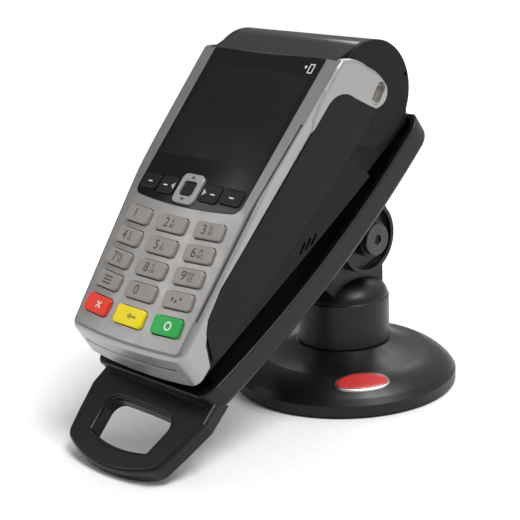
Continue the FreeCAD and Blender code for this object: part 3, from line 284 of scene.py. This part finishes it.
def circuit_board(name):
    """Green solder mask with copper tracks showing faintly under it."""
    material, tree, shader = new_material(name)
    place = object_place(tree)
    tracks = add(tree, "ShaderNodeTexBrick", Vector=place, Scale=1.0 / (6 * MM), Mortar_Size=0.06)
    weave = noise(tree, place, 0.4 * MM, 2.0)
    tone = mixed(tree, tracks.outputs["Fac"], (0.012, 0.11, 0.04), (0.03, 0.2, 0.08))
    tone = mixed(tree, spread(tree, weave, 0.0, 0.3), tone, (0.02, 0.08, 0.03))
    tree.links.new(tone, shader.inputs["Base Color"])
    tree.links.new(spread(tree, weave, 0.3, 0.45), shader.inputs["Roughness"])
    tree.links.new(bump(tree, tracks.outputs["Fac"], 0.03 * MM, 0.5), shader.inputs["Normal"])
    return material


def thermal_paper(name):
    """White paper with fibres, and the fine lines of its wound layers."""
    material, tree, shader = new_material(name)
    place = object_place(tree)
    fibres = noise(tree, place, 0.8 * MM, 5.0, 0.7)
    winding = add(tree, "ShaderNodeMapping", Vector=place, Scale=(0.02, 1.0, 1.0))
    layers = noise(tree, winding.outputs["Vector"], 0.15 * MM, 1.0)
    tone = mixed(tree, spread(tree, fibres, 0.0, 1.0), (0.82, 0.82, 0.8), (0.9, 0.9, 0.89))
    tone = mixed(tree, spread(tree, layers, 0.0, 0.25), tone, (0.66, 0.66, 0.65))
    tree.links.new(tone, shader.inputs["Base Color"])
    tree.links.new(spread(tree, fibres, 0.5, 0.65), shader.inputs["Roughness"])
    tree.links.new(bump(tree, layers, 0.02 * MM, 0.4), shader.inputs["Normal"])
    return material


def ink(name, colour):
    """Screen-printed ink, slightly uneven and rubbed."""
    material, tree, shader = new_material(name)
    rub = noise(tree, object_place(tree), 0.5 * MM, 3.0)
    tone = mixed(tree, spread(tree, rub, 0.0, 1.0), colour, tuple(c * 0.82 + 0.02 for c in colour))
    tree.links.new(tone, shader.inputs["Base Color"])
    tree.links.new(spread(tree, rub, 0.42, 0.58), shader.inputs["Roughness"])
    return material


def slot_materials():
    """One material for each of the record's slots."""
    return {
        "stand_black": moulded("stand_black", (0.005, 0.005, 0.0053), 0.36, specular=0.34),
        "cradle_black": moulded("cradle_black", (0.0046, 0.0043, 0.0045), 0.32, specular=0.34),
        "black_casing": moulded("black_casing", (0.0045, 0.0043, 0.0046), 0.5, grain=0.45 * MM,
                                relief=0.05 * MM, specular=0.2),
        "black_wall": moulded("black_wall", (0.0058, 0.0054, 0.006), 0.34, specular=0.2),
        "function_black": moulded("function_black", (0.010, 0.010, 0.0115), 0.34, grain=0.2 * MM,
                                  relief=0.01 * MM, edge=0.2 * MM, specular=0.28),
        "reader_black": moulded("reader_black", (0.02, 0.02, 0.022), 0.5),
        "nylon": moulded("nylon", (0.62, 0.6, 0.53), 0.4),
        "fibre": moulded("fibre", (0.06, 0.04, 0.028), 0.7, grain=0.4 * MM, relief=0.06 * MM),
        # The fourth colour of each key is its paler edge colour: painted highlight mixed with rubbing.
        "key_grey": key_plastic("key_grey", (0.31, 0.283, 0.262), 0.4, (0.4, 0.37, 0.35), 0.04),
        "key_red": key_plastic("key_red", (0.83, 0.045, 0.018), 0.36, (0.9, 0.1, 0.05), 0.05),
        "key_yellow": key_plastic("key_yellow", (0.93, 0.73, 0.0), 0.36, (0.95, 0.8, 0.1), 0.04),
        "key_green": key_plastic("key_green", (0.018, 0.4, 0.07), 0.36, (0.06, 0.5, 0.14), 0.05),
        "silver_casing": silver_paint("silver_casing", (0.37, 0.36, 0.352)),
        "nav_silver": silver_paint("nav_silver", (0.4, 0.385, 0.37), 0.4, 0.34),
        "gloss_black": gloss("gloss_black", (0.0045, 0.0045, 0.0052), 0.14),
        "display_window": smoked_window("display_window"),
        "lcd_dark": gloss("lcd_dark", (0.02, 0.02, 0.021), 0.3),
        "ballast_iron": metal("ballast_iron", (0.2, 0.2, 0.2), 0.6, (1.0, 1.0, 1.0)),
        "steel": metal("steel", (0.6, 0.6, 0.6), 0.34),
        "steel_black": metal("steel_black", (0.1, 0.095, 0.092), 0.42, (1.0, 30.0, 1.0)),
        "usb_metal": metal("usb_metal", (0.6, 0.57, 0.53), 0.3),
        "tear_steel": metal("tear_steel", (0.25, 0.25, 0.26), 0.36),
        "ceramic_head": moulded("ceramic_head", (0.6, 0.56, 0.5), 0.25),
        "rubber_black": rubber("rubber_black"),
        "board_green": circuit_board("board_green"),
        "thermal_paper": thermal_paper("thermal_paper"),
    }


SLOT = slot_materials()
DARK_INK = ink("dark_ink", (0.05, 0.045, 0.045))
WHITE_INK = ink("white_ink", (0.86, 0.85, 0.83))
PALE_INK = ink("pale_ink", (0.5, 0.49, 0.47))
OLIVE_INK = ink("olive_ink", (0.38, 0.3, 0.02))
BADGE_RED = gloss("badge_red", (0.42, 0.03, 0.03), 0.2)


def dress_nodes():
    """Gives every CAD node the finished material of its slot."""
    for entry in frame["record"]["subparts"]:
        mesh = NODES[entry["node"]].data
        mesh.materials.clear()
        mesh.materials.append(SLOT[entry["material_slot"]])


dress_nodes()


# ---------------------------------------------------------------- places read from the frame
class Face:
    """A flat place on the object: an origin with directions right, up and out."""

    def __init__(self, origin, right, up):
        self.origin = Vector(origin)
        self.right = Vector(right).normalized()
        self.out = self.right.cross(Vector(up)).normalized()
        self.up = self.out.cross(self.right)

    def point(self, across, along, height=0.0):
        """The place at these distances along the face's directions."""
        return self.origin + self.right * across + self.up * along + self.out * height

    def matrix(self, across=0.0, along=0.0, height=0.0):
        """Stands a shape made round the origin on the face."""
        turn = Matrix((self.right, self.up, self.out)).transposed().to_4x4()
        return Matrix.Translation(self.point(across, along, height)) @ turn

    def local(self, point):
        """A point's distances along the face's directions."""
        away = point - self.origin
        return Vector((away.dot(self.right), away.dot(self.up), away.dot(self.out)))


X_AXIS = Vector((1, 0, 0))


def outward(joint):
    """A key's press joint points into the face, so its opposite is the face's outward direction."""
    return -Vector(JOINTS[joint]["axis"])


def node_top(node, out, turn=0.0):
    """A face on top of a node, centred on it, looking along out."""
    right = X_AXIS - out * X_AXIS.dot(out)
    right.normalize()
    right = Matrix.Rotation(turn, 3, out) @ right
    face = Face((0, 0, 0), right, out.cross(right))
    points = [face.local(v.co) for v in NODES[node].data.vertices]
    low = [min(p[i] for p in points) for i in range(3)]
    high = [max(p[i] for p in points) for i in range(3)]
    face.origin = face.point((low[0] + high[0]) / 2, (low[1] + high[1]) / 2, high[2])
    face.width = high[0] - low[0]
    face.height = high[1] - low[1]
    return face


DISPLAY_OUT = outward("ok_press")


def mesh_object(name, vertices, faces, material, smooth=False):
    """A new object in the scene, made from vertices and faces."""
    mesh = bpy.data.meshes.new(name)
    mesh.from_pydata([tuple(v) for v in vertices], [], faces)
    mesh.validate()
    mesh.update()
    mesh.materials.append(material)
    for polygon in mesh.polygons:
        polygon.use_smooth = smooth
    made = bpy.data.objects.new(name, mesh)
    bpy.context.scene.collection.objects.link(made)
    return made


def print_shapes(face, outlines, name, material, sink=0.02 * MM):
    """Thin printed shapes on a face, each an outline of (across, along) points in metres."""
    vertices, faces = [], []
    for outline in outlines:
        start = len(vertices)
        count = len(outline)
        vertices += [face.point(x, y, -sink) for x, y in outline]
        vertices += [face.point(x, y, INK_THICKNESS) for x, y in outline]
        faces.append([start + i for i in reversed(range(count))])
        faces.append([start + count + i for i in range(count)])
        for i in range(count):
            j = (i + 1) % count
            faces.append([start + i, start + j, start + count + j, start + count + i])
    return mesh_object(name, vertices, faces, material)


def lettering(face, text, size, across, along, name):
    """Dark printed characters on a face, as a mesh."""
    curve = bpy.data.curves.new(name, "FONT")
    curve.body = text
    curve.size = size
    curve.extrude = INK_THICKNESS / 2
    curve.align_x = "CENTER"
    curve.align_y = "CENTER"
    curve.space_character = 1.05
    curve.resolution_u = 4
    holder = bpy.data.objects.new(name + "_text", curve)
    bpy.context.scene.collection.objects.link(holder)
    bpy.context.view_layer.update()
    evaluated = holder.evaluated_get(bpy.context.evaluated_depsgraph_get())
    mesh = bpy.data.meshes.new_from_object(evaluated)
    bpy.data.objects.remove(holder)
    mesh.transform(face.matrix(across, along, INK_THICKNESS / 2))
    mesh.name = name
    mesh.materials.clear()
    mesh.materials.append(DARK_INK)
    made = bpy.data.objects.new(name, mesh)
    bpy.context.scene.collection.objects.link(made)
    return made


def joined(name, pieces):
    """Joins several meshes of one finish into one piece."""
    target = pieces[0]
    if len(pieces) > 1:
        graph = bmesh.new()
        for piece in pieces:
            graph.from_mesh(piece.data)
        graph.to_mesh(target.data)
        graph.free()
        for piece in pieces[1:]:
            bpy.data.objects.remove(piece)
    target.name = name
    return target


# ---------------------------------------------------------------- key legends
LETTERS = {
    "key_2": "ABC", "key_3": "DEF", "key_4": "GHI", "key_5": "JKL",
    "key_6": "MNO", "key_7": "PQRS", "key_8": "TUV", "key_9": "WXYZ",
}


def key_turn(node):
    """Outer keys are turned a little about their own middle, to follow the casing's taper."""
    low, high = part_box(node)
    middle = (low.x + high.x) / 2
    return 0.0 if abs(middle) < 5 * MM else math.copysign(KEY_TURN, middle)


def ring(radius, width, start, stop, steps=20, centre=(0.0, 0.0)):
    """A curved band between two angles in degrees, as one outline."""
    outer, inner = [], []
    for i in range(steps + 1):
        angle = math.radians(start + (stop - start) * i / steps)
        outer.append((centre[0] + (radius + width / 2) * math.cos(angle),
                      centre[1] + (radius + width / 2) * math.sin(angle)))
        inner.append((centre[0] + (radius - width / 2) * math.cos(angle),
                      centre[1] + (radius - width / 2) * math.sin(angle)))
    return outer + inner[::-1]


def bar(x, y, width, height, turn=0.0):
    """A rectangle's outline about its middle."""
    c, s = math.cos(turn), math.sin(turn)
    half_x, half_y = width / 2, height / 2
    corners = [(-half_x, -half_y), (half_x, -half_y), (half_x, half_y), (-half_x, half_y)]
    return [(x + a * c - b * s, y + a * s + b * c) for a, b in corners]


def key_face(node):
    """The top of a key, turned with it."""
    return node_top(node, outward(node + "_press"), key_turn(node))


def digit_legend(node, digit):
    """A numeral left of centre with its small letters in two rows beside it."""
    face = key_face(node)
    shift = -1.9 * MM if digit != "1" else -1.2 * MM
    parts = [lettering(face, digit, NUMERAL_SIZE, shift, 0.0, node + "_numeral")]
    letters = LETTERS.get(node, "")
    if letters:
        upper, lower = letters[:-2], letters[-2:]
        parts.append(lettering(face, upper, LETTER_SIZE, 1.5 * MM, 1.0 * MM, node + "_upper"))
        parts.append(lettering(face, lower, LETTER_SIZE, 1.8 * MM, -1.1 * MM, node + "_lower"))
    return joined(node + "_legend", parts)


def menu_legend(node):
    """Three bars, one above another."""
    face = key_face(node)
    rows = [bar(0, y * MM, 5.2 * MM, 0.55 * MM) for y in (1.4, 0.0, -1.4)]
    return print_shapes(face, rows, node + "_legend", DARK_INK)


def dot_legend(node):
    """A dot and two commas."""
    face = key_face(node)
    places = ((-2.2, 0.2), (-0.2, -0.5), (2.0, 0.6))
    marks = [ring(0.28 * MM, 0.55 * MM, 0, 359, 12, (x * MM, y * MM)) for x, y in places]
    tails = [bar(x * MM, y * MM, 0.3 * MM, 0.9 * MM, -0.5) for x, y in ((-0.35, -1.0), (-2.35, -0.3))]
    return print_shapes(face, marks + tails, node + "_legend", DARK_INK)


def cancel_legend(node):
    """A diagonal cross."""
    face = key_face(node)
    cross = [bar(1.6 * MM, 0, 3.6 * MM, 0.62 * MM, turn) for turn in (math.pi / 4, -math.pi / 4)]
    return print_shapes(face, cross, node + "_legend", WHITE_INK)


def clear_legend(node):
    """An arrow to the left for erasing the last entry."""
    face = key_face(node)
    arrow = [
        (-0.6 * MM, 0.0), (1.2 * MM, 1.45 * MM), (1.2 * MM, 0.45 * MM), (4.6 * MM, 0.45 * MM),
        (4.6 * MM, -0.45 * MM), (1.2 * MM, -0.45 * MM), (1.2 * MM, -1.45 * MM),
    ]
    return print_shapes(face, [arrow[::-1]], node + "_legend", OLIVE_INK)


def enter_legend(node):
    """A plain ring for confirming."""
    face = key_face(node)
    circle = ring(1.5 * MM, 0.62 * MM, 0, 359.5, 32, (1.4 * MM, 0.0))
    return print_shapes(face, [circle], node + "_legend", WHITE_INK)


def function_legend(node):
    """A short white dash on a function key; the inner two have an arrow pointing outward as well."""
    face = node_top(node, outward(node + "_press"))
    low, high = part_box(node)
    middle = (low.x + high.x) / 2
    side = math.copysign(1.0, middle)
    inner = abs(middle) < 15 * MM
    shift = side * 1.2 * MM if inner else 0.0
    stroke = bar(shift, -0.2 * MM, 2.4 * MM, 0.45 * MM)
    dash = print_shapes(face, [stroke], node + "_dash", WHITE_INK)
    if not inner:
        return [dash]
    root = -side * (face.width / 2 - 0.5 * MM)
    arrow = [(root, -1.5 * MM), (root + side * 1.9 * MM, 0.0), (root, 1.5 * MM)]
    if side < 0:
        arrow.reverse()
    return [dash, print_shapes(face, [arrow], node + "_arrow", PALE_INK)]


def nav_legend():
    """Dark arrows at the top and bottom of the rocker ring."""
    face = node_top("nav_key", DISPLAY_OUT)
    tip = face.height / 2 - 0.9 * MM
    half, rise = 1.3 * MM, 1.3 * MM
    upper = [(-half, tip - rise), (half, tip - rise), (0.0, tip)]
    lower = [(half, rise - tip), (-half, rise - tip), (0.0, -tip)]
    return print_shapes(face, [upper, lower], "nav_arrows", DARK_INK)


def card_icon():
    """A small outlined card with an arrow beside it, at the panel's upper right corner."""
    flat = node_top("display_panel", DISPLAY_OUT)
    across = flat.width / 2 - 4.6 * MM
    along = flat.height / 2 - 5.2 * MM
    place = flat.point(across, along, -across * across / (2 * CROWN_RADIUS))
    right = flat.right - flat.out * (across / CROWN_RADIUS)
    face = Face(place, right, flat.up)
    wide, tall, line = 2.0 * MM, 3.8 * MM, 0.4 * MM
    outline = [
        bar(-wide / 2, 0, line, tall), bar(wide / 2, 0, line, tall),
        bar(0, -tall / 2, wide + line, line), bar(0, tall / 2, wide + line, line),
    ]
    arrow = [(-3.6 * MM, 0.9 * MM), (-2.9 * MM, -0.5 * MM), (-2.2 * MM, 0.9 * MM)]
    return print_shapes(face, outline + [arrow], "card_icon", WHITE_INK, 0.05 * MM)


def key_legends():
    """Prints every key and lets each legend ride its key; the card mark rides the cradle."""
    for digit in "0123456789":
        node = "key_" + digit
        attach(digit_legend(node, digit), node + "_cap")
    makers = {
        "key_menu": menu_legend, "key_dot": dot_legend, "key_cancel": cancel_legend,
        "key_clear": clear_legend, "key_enter": enter_legend,
    }
    for node, maker in makers.items():
        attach(maker(node), node + "_cap")
    for number in range(1, 5):
        node = "function_key_%d" % number
        for piece in function_legend(node):
            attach(piece, node + "_cap")
    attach(nav_legend(), "nav_ring")
    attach(card_icon(), "cradle")


key_legends()


# ---------------------------------------------------------------- blank badge on the base
BADGE_AZIMUTH = math.radians(-36)
BADGE_RADIUS_MM = 40.2
BADGE_HALF_LENGTH = 11.6 * MM
BADGE_HALF_WIDTH = 4.4 * MM
BADGE_SINK = 0.2 * MM


def base_badge(name, material, grow, lift):
    """A blank oval plate that follows the base's dome, standing proud of it by the lift."""
    mesh = NODES["base_shell"].data
    corners = [vertex.co for vertex in mesh.vertices]
    dome = BVHTree.FromPolygons(corners, [tuple(polygon.vertices) for polygon in mesh.polygons])
    away = Vector((math.cos(BADGE_AZIMUTH), math.sin(BADGE_AZIMUTH), 0))
    along = Vector((-away.y, away.x, 0))
    centre = away * BADGE_RADIUS_MM * MM
    above = Vector((0, 0, 100 * MM))
    down = Vector((0, 0, -1))
    rings, spokes = 6, 48
    shell = []
    for step in range(rings + 1):
        share = step / rings
        for spoke in range(spokes if step else 1):
            angle = 2 * math.pi * spoke / spokes
            place = centre + along * (share * (BADGE_HALF_LENGTH + grow) * math.cos(angle))
            place = place + away * (share * (BADGE_HALF_WIDTH + grow) * math.sin(angle))
            shell.append(dome.ray_cast(place + above, down)[0] + Vector((0, 0, lift)))
    under = [point - Vector((0, 0, lift + BADGE_SINK)) for point in shell[-spokes:]]
    rim, foot = 1 + (rings - 1) * spokes, 1 + rings * spokes
    faces = []
    for spoke in range(spokes):
        following = (spoke + 1) % spokes
        faces.append((0, 1 + spoke, 1 + following))
        for step in range(rings - 1):
            inner, outer = 1 + step * spokes, 1 + (step + 1) * spokes
            faces.append((inner + spoke, outer + spoke, outer + following, inner + following))
        faces.append((rim + spoke, foot + spoke, foot + following, rim + following))
    faces.append(tuple(foot + spoke for spoke in reversed(range(spokes))))
    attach(mesh_object(name, shell + under, faces, material, True), "base")


base_badge("badge_rim", SLOT["usb_metal"], grow=0.0, lift=0.45 * MM)
base_badge("badge_face", BADGE_RED, grow=-0.8 * MM, lift=0.6 * MM)


# ---------------------------------------------------------------- camera, lights and floor
# The camera was solved from the photograph: its place is in metres, its angles are in degrees.
CAMERA_PLACE = (0.41494, -0.43319, 0.22958)
CAMERA_AZIMUTH = 47.16
CAMERA_ELEVATION = 16.19
CAMERA_ROLL = -2.29
LENS_MM = 99.775
SENSOR_MM = 36.0
LIGHT_TARGET = (0, -0.05, 0.08)
BRIGHT_SIDE = (0.45, 0.45, 0.77)
FLOOR_REACH = 12.0


def camera():
    """Looks down on the object from the front right, slightly rolled."""
    azimuth = math.radians(CAMERA_AZIMUTH)
    elevation = math.radians(CAMERA_ELEVATION)
    roll = math.radians(CAMERA_ROLL)
    right = Vector((1, 0, 0))
    up = Vector((0, math.sin(elevation), math.cos(elevation)))
    ahead = Vector((0, math.cos(elevation), -math.sin(elevation)))
    turn = Matrix.Rotation(azimuth, 3, "Z")
    right, up, ahead = turn @ right, turn @ up, turn @ ahead
    c, s = math.cos(roll), math.sin(roll)
    right, up = right * c + up * s, up * c - right * s
    data = bpy.data.cameras.new("camera")
    data.lens = LENS_MM
    data.sensor_width = SENSOR_MM
    data.clip_start = 0.02
    data.clip_end = 20.0
    holder = bpy.data.objects.new("camera", data)
    turn = Matrix((right, up, -ahead)).transposed().to_4x4()
    holder.matrix_world = Matrix.Translation(CAMERA_PLACE) @ turn
    bpy.context.scene.collection.objects.link(holder)
    bpy.context.scene.camera = holder


def softbox(name, place, target, size, power):
    """A rectangular light aimed at a point."""
    data = bpy.data.lights.new(name, "AREA")
    data.shape = "RECTANGLE"
    data.size, data.size_y = size
    data.energy = power
    holder = bpy.data.objects.new(name, data)
    place, target = Vector(place), Vector(target)
    turn = (target - place).to_track_quat("-Z", "Y").to_matrix().to_4x4()
    holder.matrix_world = Matrix.Translation(place) @ turn
    bpy.context.scene.collection.objects.link(holder)


def key_light(direction, strength, spread_degrees):
    """A broad even light from one direction, so that the floor stays one tone."""
    data = bpy.data.lights.new("key_light", "SUN")
    data.energy = strength
    data.angle = math.radians(spread_degrees)
    holder = bpy.data.objects.new("key_light", data)
    holder.rotation_mode = "QUATERNION"
    holder.rotation_quaternion = (-Vector(direction)).to_track_quat("-Z", "Y")
    bpy.context.scene.collection.objects.link(holder)


def studio():
    """One key light, two softboxes and a surround that brightens upward and to the far right."""
    key_light(direction=(0.55, 0.05, 1.0), strength=2.3, spread_degrees=26)
    softbox("overhead", place=(-0.35, 0.6, 0.7), target=LIGHT_TARGET, size=(0.6, 0.25), power=2.4)
    softbox("front_left", place=(-0.8, -0.7, 0.7), target=LIGHT_TARGET, size=(0.35, 0.6), power=1.3)
    world = bpy.data.worlds.new("studio")
    bpy.context.scene.world = world
    world.use_nodes = True
    tree = world.node_tree
    direction = tree.nodes.new("ShaderNodeTexCoord").outputs["Generated"]
    towards = tree.nodes.new("ShaderNodeVectorMath")
    towards.operation = "DOT_PRODUCT"
    tree.links.new(direction, towards.inputs[0])
    towards.inputs[1].default_value = BRIGHT_SIDE
    backdrop = tree.nodes["Background"]
    backdrop.inputs["Color"].default_value = (0.98, 0.985, 1.0, 1.0)
    strength = spread(tree, towards.outputs["Value"], 0.1, 0.85, -0.1, 0.95)
    tree.links.new(strength, backdrop.inputs["Strength"])


def floor():
    """A wide pale floor with a faint paper grain."""
    signs = ((-1, -1), (1, -1), (1, 1), (-1, 1))
    corners = [(x * FLOOR_REACH, y * FLOOR_REACH, 0) for x, y in signs]
    material, tree, shader = new_material("floor")
    grain = noise(tree, object_place(tree), 3 * MM, 3.0)
    tone = mixed(tree, spread(tree, grain, 0.0, 1.0), (0.88, 0.88, 0.88), (0.92, 0.92, 0.92))
    tree.links.new(tone, shader.inputs["Base Color"])
    shader.inputs["Roughness"].default_value = 0.8
    shader.inputs["Specular IOR Level"].default_value = 0.1
    mesh_object("floor", corners, [(0, 1, 2, 3)], material)


camera()
studio()
floor()
bpy.context.scene.view_settings.view_transform = "Standard"
bpy.context.scene.view_settings.look = "None"
